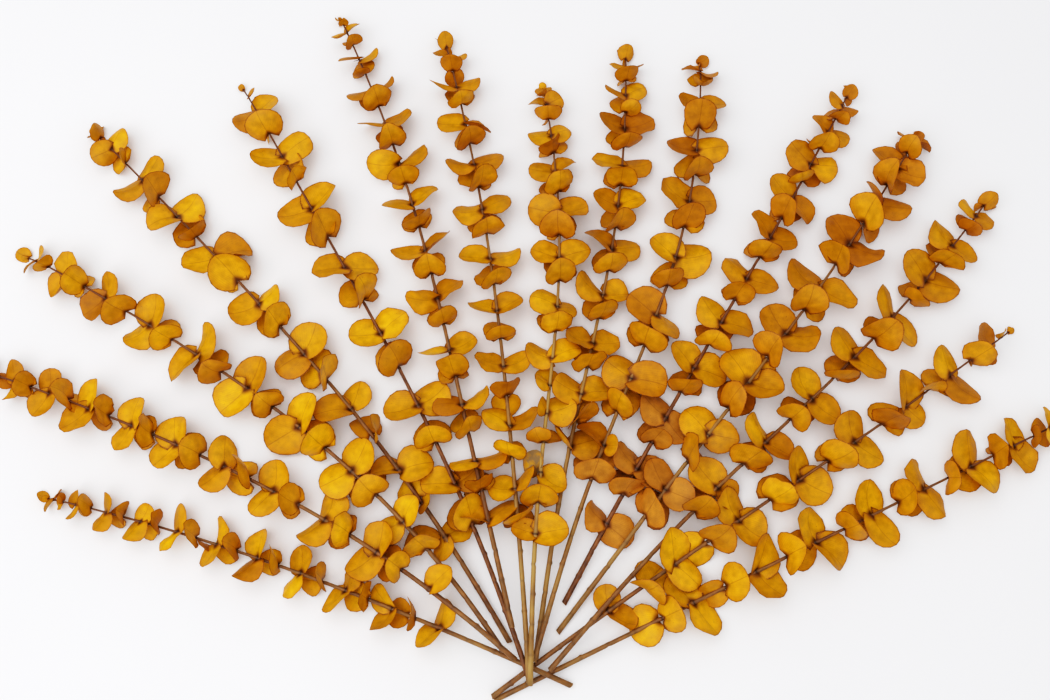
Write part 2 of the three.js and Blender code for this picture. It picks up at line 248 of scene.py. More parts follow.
def scar_and_specks(tree, along, across, grain):
    """The scar at the root, and specks where the leaf was bruised."""
    from_root = add(tree, "ShaderNodeCombineXYZ", {"X": along, "Y": across})
    root_reach = add(tree, "ShaderNodeVectorMath", {0: from_root.outputs[0]}, operation="LENGTH")
    scar = add(tree, "ShaderNodeMapRange", {
        "Value": root_reach.outputs["Value"], "From Min": 0.05, "From Max": 0.27, "To Min": 0.95,
        "To Max": 0,
    }, interpolation_type="SMOOTHSTEP")
    speck = add(tree, "ShaderNodeMapRange", {
        "Value": grain, "From Min": 0.68, "From Max": 0.74, "To Min": 0, "To Max": 0.6,
    }, interpolation_type="SMOOTHSTEP")
    return add(tree, "ShaderNodeMath", {0: scar.outputs[0], 1: speck.outputs[0]},
               operation="MAXIMUM").outputs[0]


def gone_grey(tree, healthy, spoilt, blotch):
    """A spoilt leaf is grey and brown in patches."""
    patch = add(tree, "ShaderNodeMapRange", {
        "Value": blotch, "From Min": 0.3, "From Max": 0.62,
    }, interpolation_type="SMOOTHSTEP")
    share = add(tree, "ShaderNodeMath", {0: patch.outputs[0], 1: spoilt}, operation="MULTIPLY")
    colour = add(tree, "ShaderNodeMix", {
        0: share.outputs[0], MIX_A: healthy, MIX_B: linear("#8c7350"),
    }, data_type="RGBA")
    return colour.outputs[MIX_RESULT]


def leather(tree, shader, blotch, veins):
    """The dull, uneven sheen of the leaf, with its veins sunk in."""
    dull = add(tree, "ShaderNodeMapRange", {
        "Value": blotch, "From Min": 0.3, "From Max": 0.7, "To Min": 0.4, "To Max": 0.6,
    })
    tree.links.new(dull.outputs[0], shader.inputs["Roughness"])
    shader.inputs["IOR"].default_value = 1.45
    shader.inputs["Specular IOR Level"].default_value = 0.32
    sunk = add(tree, "ShaderNodeMath", {0: veins, 1: -VEIN_DEPTH, 2: blotch},
               operation="MULTIPLY_ADD")
    relief = add(tree, "ShaderNodeBump", {
        "Strength": 0.5, "Distance": 0.6 * MM, "Height": sunk.outputs[0],
    })
    tree.links.new(relief.outputs[0], shader.inputs["Normal"])


def preserved_leaf():
    """A eucalyptus leaf dried in glycerine and coloured with dye: leathery, with fine pinnate veins,
    a rim that has dried brown and a dark scar where it sits on the stem. A wax bloom dulls its
    underside, and both sides of the oldest leaves. Part of its colour is painted shade: some of the
    browning towards its outline, and some of its lightness from leaf to leaf and in blotches."""
    material, tree, shader = new_material("glycerine_preserved_eucalyptus_leaf")
    along, across, reach = blade_map(tree)
    place = add(tree, "ShaderNodeTexCoord").outputs["Object"]
    blotch = add(tree, "ShaderNodeTexNoise", {
        "Vector": place, "Scale": BLOTCHES, "Detail": 3,
    }).outputs[0]
    grain = add(tree, "ShaderNodeTexNoise", {
        "Vector": place, "Scale": LEAF_GRAIN, "Detail": 2,
    }).outputs[0]
    tone = add(tree, "ShaderNodeAttribute", attribute_name="tone")
    tones = add(tree, "ShaderNodeSeparateXYZ", {"Vector": tone.outputs["Vector"]}).outputs

    dyed_and_shaded = rusty_and_shaded_edge(tree, dye_and_painted_shade(tree, tones, blotch), reach)
    rim = dried_rim(tree, reach, grain)
    veins = pinnate_veins(tree, along, across, blotch)
    marks = scar_and_specks(tree, along, across, grain)
    edged = add(tree, "ShaderNodeMath", {0: rim, 1: marks}, operation="MAXIMUM")
    dark = add(tree, "ShaderNodeMath", {0: veins, 1: edged.outputs[0]}, operation="MAXIMUM")
    marked = add(tree, "ShaderNodeMix", {
        0: dark.outputs[0], MIX_A: dyed_and_shaded, MIX_B: linear("#4c2406"),
    }, data_type="RGBA")
    colour = gone_grey(tree, marked.outputs[MIX_RESULT], tones["Z"], blotch)
    tree.links.new(colour, shader.inputs["Base Color"])
    leather(tree, shader, blotch, veins)
    return material


def dried_bark():
    """The thin bark of a dried twig: smooth, streaked along its length, brown where it has lost its
    dye, pale olive in patches that are partly faded bark and partly a painted highlight, and darker
    at the nodes and at the young end."""
    material, tree, shader = new_material("dried_eucalyptus_bark")
    on_bark = add(tree, "ShaderNodeUVMap", uv_map="bark")
    stretched = add(tree, "ShaderNodeMapping", {"Vector": on_bark.outputs[0], "Scale": STREAKS})
    streak = add(tree, "ShaderNodeTexNoise", {
        "Vector": stretched.outputs[0], "Scale": 1, "Detail": 4, "Roughness": 0.6,
    })
    place = add(tree, "ShaderNodeTexCoord").outputs["Object"]
    patch = add(tree, "ShaderNodeTexNoise", {"Vector": place, "Scale": WOOD_PATCHES, "Detail": 2})
    wood = add(tree, "ShaderNodeAttribute", attribute_name="wood")
    wooden = add(tree, "ShaderNodeSeparateXYZ", {"Vector": wood.outputs["Vector"]})
    streaked = add(tree, "ShaderNodeMapRange", {
        "Value": streak.outputs[0], "From Min": 0.35, "From Max": 0.65,
    })
    brown = add(tree, "ShaderNodeMix", {
        0: streaked.outputs[0], MIX_A: linear("#46260f"), MIX_B: linear("#835124"),
    }, data_type="RGBA")
    bare = add(tree, "ShaderNodeMapRange", {
        "Value": patch.outputs[0], "From Min": 0.3, "From Max": 0.7, "To Min": 0.2, "To Max": 1,
    })
    faded = add(tree, "ShaderNodeMath", {0: bare.outputs[0], 1: wooden.outputs["Z"]},
                operation="MULTIPLY")
    # Painted highlight in part: the pale olive patches stand for the golden gleam along the bark, as
    # well as for bark that has faded.
    varied = add(tree, "ShaderNodeMix", {
        0: faded.outputs[0], MIX_A: brown.outputs[MIX_RESULT], MIX_B: linear("#b08d4c"),
    }, data_type="RGBA")
    young = add(tree, "ShaderNodeMix", {
        0: wooden.outputs["X"], MIX_A: varied.outputs[MIX_RESULT], MIX_B: linear("#5e3415"),
    }, data_type="RGBA")
    knotted = add(tree, "ShaderNodeMix", {
        0: wooden.outputs["Y"], MIX_A: young.outputs[MIX_RESULT], MIX_B: linear("#32190b"),
    }, data_type="RGBA")
    tree.links.new(knotted.outputs[MIX_RESULT], shader.inputs["Base Color"])
    shader.inputs["Roughness"].default_value = 0.55
    shader.inputs["IOR"].default_value = 1.5
    relief = add(tree, "ShaderNodeBump", {
        "Strength": 0.4, "Distance": 0.3 * MM, "Height": streak.outputs[0],
    })
    tree.links.new(relief.outputs[0], shader.inputs["Normal"])
    return material


def cut_wood():
    """The clean cut of the shears: pale, with fine rays."""
    material, tree, shader = new_material("cut_eucalyptus_wood")
    place = add(tree, "ShaderNodeTexCoord").outputs["Object"]
    rays = add(tree, "ShaderNodeTexNoise", {"Vector": place, "Scale": WOOD_RAYS, "Detail": 3})
    pale = add(tree, "ShaderNodeMix", {
        0: rays.outputs[0], MIX_A: linear("#b88a55"), MIX_B: linear("#e2c08c"),
    }, data_type="RGBA")
    tree.links.new(pale.outputs[MIX_RESULT], shader.inputs["Base Color"])
    shader.inputs["Roughness"].default_value = 0.75
    return material


def white_paper():
    """Matte background paper, a little uneven in its white."""
    material, tree, shader = new_material("white_background_paper")
    place = add(tree, "ShaderNodeTexCoord").outputs["Object"]
    cloud = add(tree, "ShaderNodeTexNoise", {"Vector": place, "Scale": CLOUDS, "Detail": 2})
    white = add(tree, "ShaderNodeMix", {
        0: cloud.outputs[0], MIX_A: linear("#ebebed"), MIX_B: linear("#f1f1f2"),
    }, data_type="RGBA")
    tree.links.new(white.outputs[MIX_RESULT], shader.inputs["Base Color"])
    shader.inputs["Roughness"].default_value = 0.9
    return material


# ---- The stems' routes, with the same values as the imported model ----

# Millimetres and degrees. A stem starts at its foot and runs along its heading, bent aside by its
# bow and sway. It is bare up to its first leaves, which hold it up at its lift. Then come how many
# pairs it has, how long a grown leaf is, how far from the tip they are young, how wide a leaf is for
# its length, how its first pair is turned round the stem and how far its leaves face up.
STEMS = [
    {"foot": (38, -16), "heading": 160.8, "length": 519, "bow": -13, "sway": 1, "bare": 130,
     "lift": 13, "pairs": 22, "leaf": 29, "young": 160, "plump": 0.94, "turn": 12, "face": 42},
    {"foot": (-13, 7), "heading": 152.3, "length": 579, "bow": -30, "sway": -2, "bare": 99,
     "lift": 15, "pairs": 22, "leaf": 33, "young": 120, "plump": 0.98, "turn": 8, "face": 57},
    {"foot": (-23, 13), "heading": 141.1, "length": 600, "bow": -39, "sway": -4, "bare": 112,
     "lift": 16, "pairs": 19, "leaf": 35, "young": 150, "plump": 1.02, "turn": 84, "face": 62},
    {"foot": (-18, 22), "heading": 129.9, "length": 649, "bow": -22, "sway": -3, "bare": 112,
     "lift": 15, "pairs": 19, "leaf": 35, "young": 110, "plump": 1.02, "turn": 10, "face": 65},
    {"foot": (-1, -9), "heading": 116.5, "length": 643, "bow": -17, "sway": -3, "bare": 144,
     "lift": 18, "pairs": 16, "leaf": 36, "young": 90, "plump": 1.04, "turn": 94, "face": 64},
    {"foot": (-16, 35), "heading": 106.2, "length": 632, "bow": -17, "sway": 4, "bare": 98,
     "lift": 15, "pairs": 25, "leaf": 33, "young": 140, "plump": 0.92, "turn": 4, "face": 40},
    {"foot": (-1, -13), "heading": 97.7, "length": 637, "bow": -16, "sway": 2, "bare": 144,
     "lift": 17, "pairs": 22, "leaf": 33, "young": 110, "plump": 0.96, "turn": 94, "face": 49},
    {"foot": (0, -15), "heading": 88.7, "length": 582, "bow": -14, "sway": 8, "bare": 134,
     "lift": 16, "pairs": 21, "leaf": 32, "young": 140, "plump": 1.08, "turn": 4, "face": 62},
    {"foot": (5, 7), "heading": 81.3, "length": 605, "bow": -10, "sway": 7, "bare": 196,
     "lift": 15, "pairs": 21, "leaf": 32, "young": 90, "plump": 1.0, "turn": 12, "face": 52},
    {"foot": (3, 5), "heading": 74.1, "length": 613, "bow": -21, "sway": 11, "bare": 172,
     "lift": 18, "pairs": 17, "leaf": 36, "young": 120, "plump": 1.04, "turn": 92, "face": 64},
    {"foot": (31, 57), "heading": 60.2, "length": 583, "bow": 0, "sway": 2, "bare": 83,
     "lift": 16, "pairs": 23, "leaf": 33, "young": 120, "plump": 1.04, "turn": 8, "face": 62},
    {"foot": (25, 31), "heading": 53.4, "length": 604, "bow": -8, "sway": 3, "bare": 130,
     "lift": 18, "pairs": 19, "leaf": 37, "young": 70, "plump": 1.04, "turn": 80, "face": 64},
    {"foot": (17, -3), "heading": 46.2, "length": 627, "bow": -4, "sway": 7, "bare": 195,
     "lift": 16, "pairs": 18, "leaf": 35, "young": 120, "plump": 1.04, "turn": 96, "face": 60},
    {"foot": (-35, -26), "heading": 34.5, "length": 603, "bow": 1, "sway": 2, "bare": 130,
     "lift": 17, "pairs": 17, "leaf": 36, "young": 90, "plump": 1.02, "turn": 12, "face": 62},
    {"foot": (-33, -29), "heading": 25.5, "length": 606, "bow": 0, "sway": 0, "bare": 169,
     "lift": 15, "pairs": 18, "leaf": 36, "young": 110, "plump": 1.0, "turn": 88, "face": 56},
]
LAID_DOWN = [15, 14, 1, 13, 12, 11, 5, 3, 2, 4, 6, 9, 10, 7, 8]  # the lowest stem first
BUNCH_SHIFT = Vector((7.12, -306.512, 0)) * MM

FOOT_RADIUS = 2.6 * MM
TIP_RADIUS = 0.75 * MM
TAPER = 0.85
STACK_GAP = 0.35 * MM  # between stems where one lies over another
TOUCH_DEPTH = 0.3 * MM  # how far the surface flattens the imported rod
ROUTE_STEP = 1.5 * MM
ROD_RINGS = 6
RING_CROWDING = 1.3  # rings are closer together towards the foot
RING_SPACING = 0.012
ROD_CORNER = 90  # degrees between the corners of the packed, square rod
LEAVES_HOLD_UP_TO = 0.97  # of the stem's length
DIRECTION_SPAN = 0.02  # of the length, to each side of a place whose direction is taken
PAIR_CROWDING = 1.3  # pairs are closer together towards the tip
LEFT_OFF_EVERY = 5
TIP_STRETCH = 0.004
YOUNG_LEAF = 0.45  # the length of a leaf at the tip, of a grown one's


def blend(a, b, share):
    """From a to b, a share of the way."""
    return a + (b - a) * share


def stem_radius(t):
    """A share t along a stem, from its foot to its tip."""
    return blend(FOOT_RADIUS, TIP_RADIUS, t**TAPER)


def nearest_of(places):
    """A tree that finds the nearest of some places."""
    tree = kdtree.KDTree(len(places))
    for i, place in enumerate(places):
        tree.insert(place, i)
    tree.balance()
    return tree


class Stem:
    """One woody stem: where it runs, and how high it lies over the surface and the others."""

    def __init__(self, number, row):
        self.number = number
        self.row = row
        self.length = row["length"] * MM
        self.bare = row["bare"] * MM
        self.peaks = []

    def over_the_surface(self, t):
        row = self.row
        along = row["length"] * t
        aside = row["bow"] * 4 * t * (1 - t) + row["sway"] * math.sin(2 * math.pi * t)
        c, s = math.cos(math.radians(row["heading"])), math.sin(math.radians(row["heading"]))
        foot = row["foot"]
        x, y = foot[0] + c * along - s * aside, foot[1] + s * along + c * aside
        return Vector((x, y, 0)) * MM + BUNCH_SHIFT

    def own_height(self, t):
        """How high the stem lies with no other under it: on its leaves, or on its bark."""
        if t * self.length > self.bare and t < LEAVES_HOLD_UP_TO:
            return self.row["lift"] * MM
        off_down = (self.row["turn"] + ROD_CORNER / 2 + 90) % ROD_CORNER
        underside = math.cos(math.radians(min(off_down, ROD_CORNER - off_down)))
        return stem_radius(t) * underside - TOUCH_DEPTH

    def lie_on(self, laid):
        """Sets the heights: a line stretched over the surface, the leaves and the stems below."""
        below = nearest_of([(point.x, point.y, 0) for point, _ in laid])
        steps = math.ceil(self.length / ROUTE_STEP)
        for i in range(steps + 1):
            t = i / steps
            radius = stem_radius(t)
            z = self.own_height(t)
            widest = radius + FOOT_RADIUS + STACK_GAP
            for _, which, apart in below.find_range(self.over_the_surface(t), widest):
                point, other = laid[which]
                reach = radius + other + STACK_GAP
                if apart < reach:
                    z = max(z, point.z + math.sqrt(reach * reach - apart * apart))
            self.stretch_to(t, z)
        for i in range(steps + 1):
            laid.append((self.point(i / steps), stem_radius(i / steps)))

    def stretch_to(self, t, z):
        """Adds a peak to the stretched line, and drops those that it now passes over."""
        peaks = self.peaks
        while len(peaks) > 1:
            (t0, z0), (t1, z1) = peaks[-2:]
            if z1 > z0 + (z - z0) * (t1 - t0) / (t - t0):
                break
            peaks.pop()
        peaks.append((t, z))

    def point(self, t):
        peaks = self.peaks
        after = next((i for i, peak in enumerate(peaks) if peak[0] >= t), len(peaks) - 1)
        (t0, z0), (t1, z1) = peaks[max(0, after - 1)], peaks[max(1, after)]
        place = self.over_the_surface(t)
        place.z = blend(z0, z1, (t - t0) / (t1 - t0))
        return place

    def rings(self):
        """Where the packed, straight-sided rod bends, as shares of the length."""
        shares = [t for t, _ in self.peaks]
        for i in range(ROD_RINGS + 1):
            t = (i / ROD_RINGS) ** RING_CROWDING
            if all(abs(share - t) > RING_SPACING for share in shares):
                shares.append(t)
        return sorted(shares)

    def directions(self, t):
        """The way to the tip, and the sideways and upward directions there."""
        before, after = max(0, t - DIRECTION_SPAN), min(1, t + DIRECTION_SPAN)
        onward = (self.point(after) - self.point(before)).normalized()
        aside = Vector((0, 0, 1)).cross(onward).normalized()
        return onward, aside, onward.cross(aside)

    def pair_place(self, i):
        """Where the pair number i sits."""
        from_tip = (1 - i / (self.row["pairs"] - 1)) ** PAIR_CROWDING
        leafy = (self.length - self.bare) / self.length
        return 1 - blend(TIP_STRETCH, 1, from_tip) * leafy

    def left_off(self):
        """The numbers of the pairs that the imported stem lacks."""
        pairs = self.row["pairs"]
        return [i for i in range(pairs) if (pairs - i) % LEFT_OFF_EVERY == 0]

    def leaf_length(self, t):
        """The leaves are smaller up to the row's "young" millimetres from the tip."""
        grown = math.sin(min(1, (1 - t) * self.row["length"] / self.row["young"]) * math.pi / 2)
        return self.row["leaf"] * MM * blend(YOUNG_LEAF, 1, grown)


stems = [Stem(i + 1, row) for i, row in enumerate(STEMS)]
laid_stems = []
for number in LAID_DOWN:
    stems[number - 1].lie_on(laid_stems)

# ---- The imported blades, which the leaves are put on ----

WELD = 1e-6
CORNER_SPREAD = 2.2 * MM  # the points of one corner of a packed blade are within this
ROD_MARGIN = 0.35 * MM
STRAIGHT_SAMPLES = 120
GROWN_END = 0.93  # how far along a leaf the last two corners of a grown blade are
BLADE_SPAN = 0.96  # of a leaf's width is between the two widest corners
FEWEST_CORNERS = 3


@dataclass
class Leaf:
    """Where a leaf sits: its root, the way it points, its width's way and its hollow side's."""

    place: float  # of the stem's length
    root: Vector
    along: Vector
    across: Vector
    hollow: Vector
    length: float
    width: float
    rise: float  # how deep the hollow is


def gathered(points):
    """The middles of the groups that lie close together."""
    groups = []
    for point in points:
        near = [g for g in groups if any((point - p).length < CORNER_SPREAD for p in g)]
        joined = [point] + [p for g in near for p in g]
        groups = [g for g in groups if g not in near] + [joined]
    return [sum(g, Vector()) / len(g) for g in groups]


def straight_rod(stem):
    """Shares of the stem's length, each with its place on the packed, straight-sided rod."""
    straights = []
    for low, high in itertools.pairwise(stem.rings()):
        start, end = stem.point(low), stem.point(high)
        for i in range(STRAIGHT_SAMPLES):
            share = i / STRAIGHT_SAMPLES
            straights.append((blend(low, high, share), start.lerp(end, share)))
    return straights


def blades(off_rod):
    """The points of each packed blade, and the points where it meets the rod."""
    while off_rod:
        blade, roots, queue = [], {}, [off_rod.popitem()[0]]
        while queue:
            vert = queue.pop()
            blade.append(vert)
            for edge in vert.link_edges:
                other = edge.other_vert(vert)
                if other in off_rod:
                    del off_rod[other]
                    queue.append(other)
                elif other not in blade and other not in queue:
                    roots[other] = True
        if roots:
            yield blade, roots


def leaf_on(stem, blade, roots, straights, axis):
    """The leaf that a packed blade stands for, or None where it has too few corners."""
    root = sum((vert.co for vert in roots), Vector()) / len(roots)
    corners = gathered([vert.co.copy() for vert in blade])
    corners.sort(key=lambda corner: (corner - root).length)
    if len(corners) < FEWEST_CORNERS:
        return None
    shoulders, ends = corners[:2], corners[2:]
    end = sum(ends, Vector()) / len(ends)
    length = (end - root).length / (1 if len(ends) == 1 else GROWN_END)
    along = (end - root).normalized()
    span = shoulders[1] - shoulders[0]
    across = (span - along * span.dot(along)).normalized()
    hollow = along.cross(across)
    rise = ((shoulders[0] + shoulders[1]) / 2 - root).dot(hollow)
    if rise < 0:
        across, hollow, rise = -across, -hollow, -rise
    # The rod is straight from ring to ring, and the woody stem bends all along it.
    t, straight = straights[axis.find(root)[1]]
    root += stem.point(t) - straight
    return Leaf(t, root, along, across, hollow, length, span.length / BLADE_SPAN, rise)


def packed_leaves(stem, node):
    """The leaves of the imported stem, from left to right whatever the order of its triangles."""
    mesh = bmesh.new()
    mesh.from_mesh(node.data)
    bmesh.ops.remove_doubles(mesh, verts=mesh.verts[:], dist=WELD)
    straights = straight_rod(stem)
    axis = nearest_of([point for _, point in straights])
    off_rod = {}  # keeps the mesh's order, so that every run gives the same leaves
    for vert in mesh.verts:
        _, i, apart = axis.find(vert.co)
        if apart > stem_radius(straights[i][0]) + ROD_MARGIN:
            off_rod[vert] = True
    found = [leaf_on(stem, blade, roots, straights, axis) for blade, roots in blades(off_rod)]
    mesh.free()
    return sorted((leaf for leaf in found if leaf),
                  key=lambda leaf: (leaf.root + leaf.along * leaf.length).x)


# ---- The finer leaves ----

ALONG_FACES = 8
ACROSS_FACES = 4
DISC_WELD = 1e-5
RIM_FROM = 0.99
HALF_THICKNESS = 0.22 * MM
SURFACE_CLEARANCE = 0.15 * MM
UNDERSIDE_BLOOM = 0.1
OLD_BLOOM = 0.9
TIP_STRETCHED = 0.07  # of the leaf's length, by a full point
TIP_NARROWER = 0.22
NOTCH_STEEPNESS = 2.6
SHOULDER_RISE = 0.92  # of a packed blade's hollow is between its root and its shoulders
SMALLER = 0.94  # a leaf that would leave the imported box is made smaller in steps
SMALLER_TRIES = 8
NEAR_LEAVES = 50 * MM  # leaves whose middles are closer than this may touch


def leaf_disc(mesh):
    """A closed, lens-shaped disc from x = 0 to 1 and y = -1 to 1: the leaf before it is shaped.
    Its points keep their side of the blade in z."""
    blade = mesh.loops.layers.uv.new("blade")
    bloom = mesh.faces.layers.float.new("bloom")
    mesh.verts.layers.float_vector.new("tone")
    bmesh.ops.create_grid(mesh, x_segments=ALONG_FACES, y_segments=ACROSS_FACES, size=1)
    for vert in mesh.verts:
        turn = (vert.co.x + 1) / 2 * math.pi
        x, y = (1 - math.cos(turn)) / 2, vert.co.y * math.sin(turn)
        on_rim = abs(vert.co.y) > RIM_FROM or abs(vert.co.x) > RIM_FROM
        vert.co = (x, y, 0 if on_rim else 1)
    bmesh.ops.remove_doubles(mesh, verts=mesh.verts[:], dist=DISC_WELD)
    bmesh.ops.mirror(mesh, geom=mesh.verts[:] + mesh.edges[:] + mesh.faces[:], axis="Z",
                     merge_dist=DISC_WELD)
    bmesh.ops.recalc_face_normals(mesh, faces=mesh.faces[:])
    for face in mesh.faces:
        face.smooth = True
        face[bloom] = UNDERSIDE_BLOOM if face.calc_center_median().z < 0 else 0.0
        for loop in face.loops:
            loop[blade].uv = (loop.vert.co.x, loop.vert.co.y / 2 + 0.5)
    for edge in mesh.edges:
        edge.smooth = any(vert.co.z for vert in edge.verts)
    return mesh.verts[:] + mesh.edges[:] + mesh.faces[:]


mesh = bmesh.new()
leaf_disc(mesh)
mesh.verts.index_update()
DISC_POINTS = [tuple(vert.co) for vert in mesh.verts]
DISC_FACES = [[vert.index for vert in face.verts] for face in mesh.faces]
mesh.free()


def leaf_manner(draws):
    """How one leaf is cut, cupped, waved, bent and twisted."""
    return {
        "point": max(0, draws.uniform(-0.8, 1.0)),
        "notch": draws.uniform(0.12, 0.34),
        "broad": draws.uniform(0.0, 0.22),
        "hollow": draws.choice((1, 1.4, 1.8, -0.8, -1.4)),
        "fold": draws.uniform(1.1, 2.6),
        "wave": draws.uniform(0.015, 0.06),
        "waves": draws.choice((2, 3, 3, 4, 5)),
        "start": draws.uniform(0, 2 * math.pi),
        "bend": draws.uniform(-0.4, 0.7),
        "twist": draws.uniform(-0.25, 0.25),
    }


def shaped(leaf, manner, x, y, side):
    """The place of a point of the disc on the leaf."""
    pointed = manner["point"] * x**4
    lobe = min(1, NOTCH_STEEPNESS * abs(y)) * (1 - x) ** 2
    along = x + TIP_STRETCHED * pointed - manner["notch"] * lobe
    across = y * (1 - TIP_NARROWER * pointed) * (1 + manner["broad"] * (1 - x))
    # Hollow or domed across the midrib, with a rim that wavers, and bent along it.
    reach = math.hypot(2 * x - 1, y)
    around = math.atan2(y, 2 * x - 1)
    waver = manner["wave"] * reach**3 * math.sin(manner["waves"] * around + manner["start"])
    bend = manner["bend"] * (x * x - x)
    twist = manner["twist"] * x * across
    hollow = manner["hollow"] * leaf.rise / SHOULDER_RISE * abs(across) ** manner["fold"]
    height = hollow + leaf.length * (waver + bend) + leaf.width / 2 * twist
    place = leaf.root + leaf.along * (along * leaf.length)
    place += leaf.across * (across * leaf.width / 2)
    return place + leaf.hollow * (height + side * HALF_THICKNESS)


def leaf_points(leaf, manner):
    """The points of the disc on the leaf, with its two faces apart where it lies on the surface."""
    up = math.copysign(1, leaf.hollow.z)
    places = []
    for x, y, side in DISC_POINTS:
        place = shaped(leaf, manner, x, y, side)
        place.z = max(place.z, SURFACE_CLEARANCE + HALF_THICKNESS * (1 + side * up))
        places.append(place)
    return places


def in_packed_box(points):
    return all(packed_box[0][k] < p[k] < packed_box[1][k] for p in points for k in range(3))


def kept_in_packed_box(point):
    return Vector(min(max(point[k], packed_box[0][k]), packed_box[1][k]) for k in range(3))


class Form:
    """A leaf in its shape: its points, and how many faces it passes through of the leaves that are
    there already and of the other woody stems."""

    def __init__(self, leaf, own_stem, draws):
        self.leaf = leaf
        manner = leaf_manner(draws)
        for _ in range(SMALLER_TRIES):
            self.points = leaf_points(leaf, manner)
            if in_packed_box(self.points):
                break
            leaf.length *= SMALLER
            leaf.width *= SMALLER
        self.points = [kept_in_packed_box(point) for point in self.points]
        self.tree = bvhtree.BVHTree.FromPolygons(self.points, DISC_FACES)
        self.middle = sum(self.points, Vector()) / len(self.points)
        others = [f.tree for f in forms if (f.middle - self.middle).length < NEAR_LEAVES]
        others += [tree for number, tree in stem_trees.items() if number != own_stem]
        self.crossed = sum(len(self.tree.overlap(tree)) for tree in others)


def best_form(own_stem, new_leaf, tries, draws):
    """Out of a few forms, the one that passes through the fewest faces."""
    best = None
    for _ in range(tries):
        form = Form(new_leaf(), own_stem, draws)
        if best is None or form.crossed < best.crossed:
            best = form
        if not best.crossed:
            break
    forms.append(best)
    return best


def add_leaf(mesh, disc, form, tone, old):
    """A copy of the disc in the leaf's form."""
    tones = mesh.verts.layers.float_vector["tone"]
    bloom = mesh.faces.layers.float["bloom"]
    place_of = dict(zip(DISC_POINTS, form.points))
    for part in bmesh.ops.duplicate(mesh, geom=disc)["geom"]:
        if isinstance(part, bmesh.types.BMVert):
            part.co = place_of[tuple(part.co)]
            part[tones] = tone
        elif old and isinstance(part, bmesh.types.BMFace):
            part[bloom] = OLD_BLOOM


# ---- Which leaves a stem has ----

PACKED_TRIES = 6
PACKED_WIDTH = (0.94, 1.05)
PACKED_LENGTH = (0.86, 0.94)
UPRIGHT_SHORTER = 0.14  # the leaves that stand up are broader than they are long
ADDED_TRIES = 14
ADDED_SEED = 100
ADDED_SIZE = 0.9
ADDED_LENGTH = (0.9, 1.1)
ADDED_PLUMPNESS = (0.95, 1.1)
ADDED_TURN = (-12, 12)
ADDED_RISE = (0.05, 0.14)
UPRIGHT_SHARE = 0.7  # how far the leaves on top of a stem lean towards its tip, of "face"
LEAN = (6, 26)
LEAN_STEP = 4
STEEPEST = 80
FACE_SPREAD = 12
ROOT_DEPTH = 0.5  # of the stem's radius
TIP_LEAVES = (20, 160, 80)  # the angles of the smallest leaves, at the very tip
TIP_LEAF = 6.5 * MM
TIP_LEAF_PLACE = 0.998


def young_leaf(stem, t, angle, length, width, draws):
    """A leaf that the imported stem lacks: turned up to the light and bent clear of the surface."""
    onward, aside, up = stem.directions(t)
    above, sideways = math.sin(math.radians(angle)), math.cos(math.radians(angle))
    level = stem.row["face"] * (UPRIGHT_SHARE if above > 0 else 1)
    roll = math.copysign(math.sqrt(abs(sideways)), sideways) * stem.row["face"]
    roll += draws.uniform(-FACE_SPREAD, FACE_SPREAD)
    rise = width * draws.uniform(*ADDED_RISE)
    lean = draws.uniform(*LEAN) + abs(above) * (level - LEAN[1])
    outward = aside * sideways + up * above
    while True:
        tilt = math.radians(lean)
        along = outward * math.cos(tilt) + onward * math.sin(tilt)
        hollow = onward * math.cos(tilt) - outward * math.sin(tilt)
        hollow = Matrix.Rotation(-math.radians(roll), 3, along) @ hollow
        across = hollow.cross(along)
        root = stem.point(t) + along * stem_radius(t) * ROOT_DEPTH
        if (root + along * length).z > width / 2 * abs(across.z) or lean > STEEPEST:
            return Leaf(t, root, along, across, hollow, length, width, rise)
        lean += LEAN_STEP


def packed_forms(stem, draws):
    """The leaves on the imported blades."""
    grown = []
    for leaf in packed_leaves(stem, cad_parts[f"leafy_stem_{stem.number:02d}"]):
        leaf.width *= draws.uniform(*PACKED_WIDTH)
        leaf.length *= draws.uniform(*PACKED_LENGTH) - UPRIGHT_SHORTER * max(0, leaf.along.z) ** 2
        grown.append(best_form(stem.number, lambda: leaf, PACKED_TRIES, draws))
    return grown


def added_forms(stem, draws):
    """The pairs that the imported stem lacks, and the smallest leaves round its tip."""
    seats = []
    for i in stem.left_off():
        t = stem.pair_place(i)
        for half in (0, 180):
            angle = stem.row["turn"] + 90 * i + half
            seats.append((t, angle, stem.leaf_length(t) * ADDED_SIZE))
    seats += [(TIP_LEAF_PLACE, angle, TIP_LEAF) for angle in TIP_LEAVES]
    grown = []
    for t, angle, size in seats:
        def new_leaf():
            length = size * draws.uniform(*ADDED_LENGTH)
            width = length * stem.row["plump"] * draws.uniform(*ADDED_PLUMPNESS)
            return young_leaf(stem, t, angle + draws.uniform(*ADDED_TURN), length, width, draws)
        grown.append(best_form(stem.number, new_leaf, ADDED_TRIES, draws))
    return grown


# ---- The pieces ----

